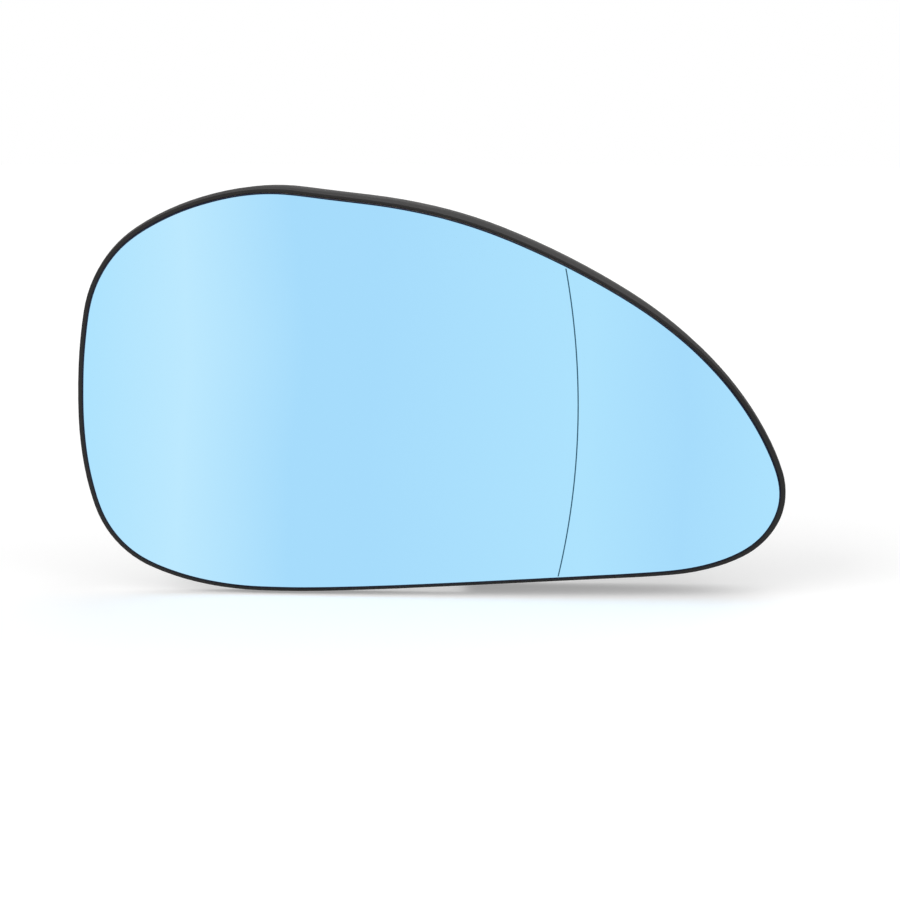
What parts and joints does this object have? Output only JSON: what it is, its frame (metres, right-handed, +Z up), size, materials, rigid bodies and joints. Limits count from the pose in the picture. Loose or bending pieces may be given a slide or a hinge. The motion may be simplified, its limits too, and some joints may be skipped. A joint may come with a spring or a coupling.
{
  "type": "car door mirror glass",
  "caption": "Convex heated mirror glass on a moulded carrier with a skirt, a clip collar for the actuator, tab terminals and a steel stay arm.",
  "frame": {"origin": "centre of the clip ring's bore, level with the back of the carrier's plate", "axes": "+X to the narrow end, +Z up as installed, +Y out of the back towards the actuator, mirror face towards -Y"},
  "size_m": [0.1779, 0.0424, 0.1025],
  "materials": {
    "mirror_glass": "blue tinted mirror",
    "bonding_sheet": "amber adhesive sheet",
    "heater_film": "gloss film",
    "carrier": "satin black moulding",
    "clip_ring": "natural nylon",
    "spring_wire": "drawn wire",
    "stay_arm": "blackened steel",
    "terminal": "tinned tab",
    "rivet": "tinned brass"
  },
  "bodies": {
    "root": {"mirror_glass": "mirror_glass", "bonding_sheet": "bonding_sheet", "heater_film": "heater_film", "carrier": "carrier", "clip_ring": "clip_ring", "ring_spring": "spring_wire", "stay_arm": "stay_arm", "terminal_lower": "terminal", "terminal_upper": "terminal", "rivet_lower": "rivet", "rivet_upper": "rivet"}
  },
  "joints": []
}
